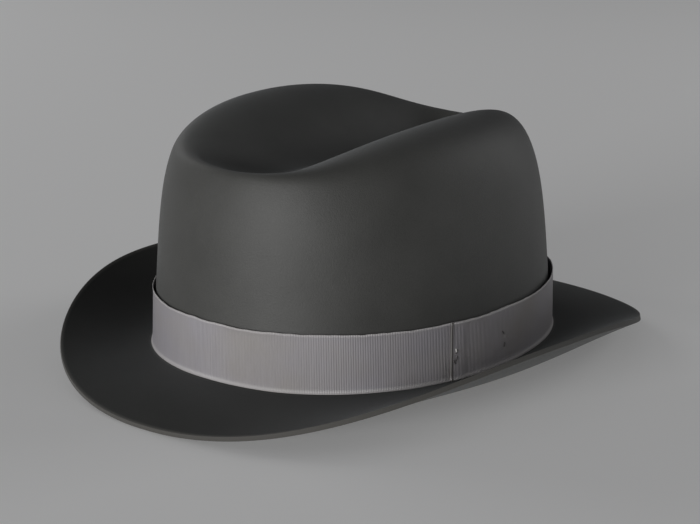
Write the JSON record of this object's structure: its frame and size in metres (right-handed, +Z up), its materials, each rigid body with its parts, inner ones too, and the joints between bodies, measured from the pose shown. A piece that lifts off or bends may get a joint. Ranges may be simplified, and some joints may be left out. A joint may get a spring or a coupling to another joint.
{
  "type": "soft felt hat",
  "caption": "Soft felt hat with an open centre crease, a ribbed ribbon band and a brim rolled up at both sides, with a leather sweatband and a satin lining.",
  "frame": {"origin": "on the surface that the brim stands on, under the middle of the hat's outline", "axes": "the front of the hat faces -Y, the wearer's left is +X, +Z is up"},
  "size_m": [0.246, 0.302, 0.1209],
  "materials": {
    "felt": "brushed wool felt, charcoal grey",
    "grosgrain": "pale grey ribbed ribbon",
    "ribbon_thread": "pale sewing thread",
    "leather": "smooth brown leather, semi-matt",
    "reed": "matt cane-coloured cord",
    "tape": "plain woven cotton tape",
    "thread": "waxed sewing thread",
    "bow_ribbon": "narrow dark ribbon",
    "satin": "satin lining, soft sheen",
    "piping": "covered cord"
  },
  "bodies": {
    "root": {"felt_body": "felt", "hat_ribbon": "grosgrain", "ribbon_tacks": "ribbon_thread", "sweatband": "leather", "sweatband_reed": "reed", "reed_tape": "tape", "sweatband_stitches": "thread", "seam_stitches": "thread", "sweatband_bow": "bow_ribbon", "lining_side": "satin", "lining_tip": "satin", "tip_piping": "piping", "lining_tacks": "thread"}
  },
  "joints": []
}
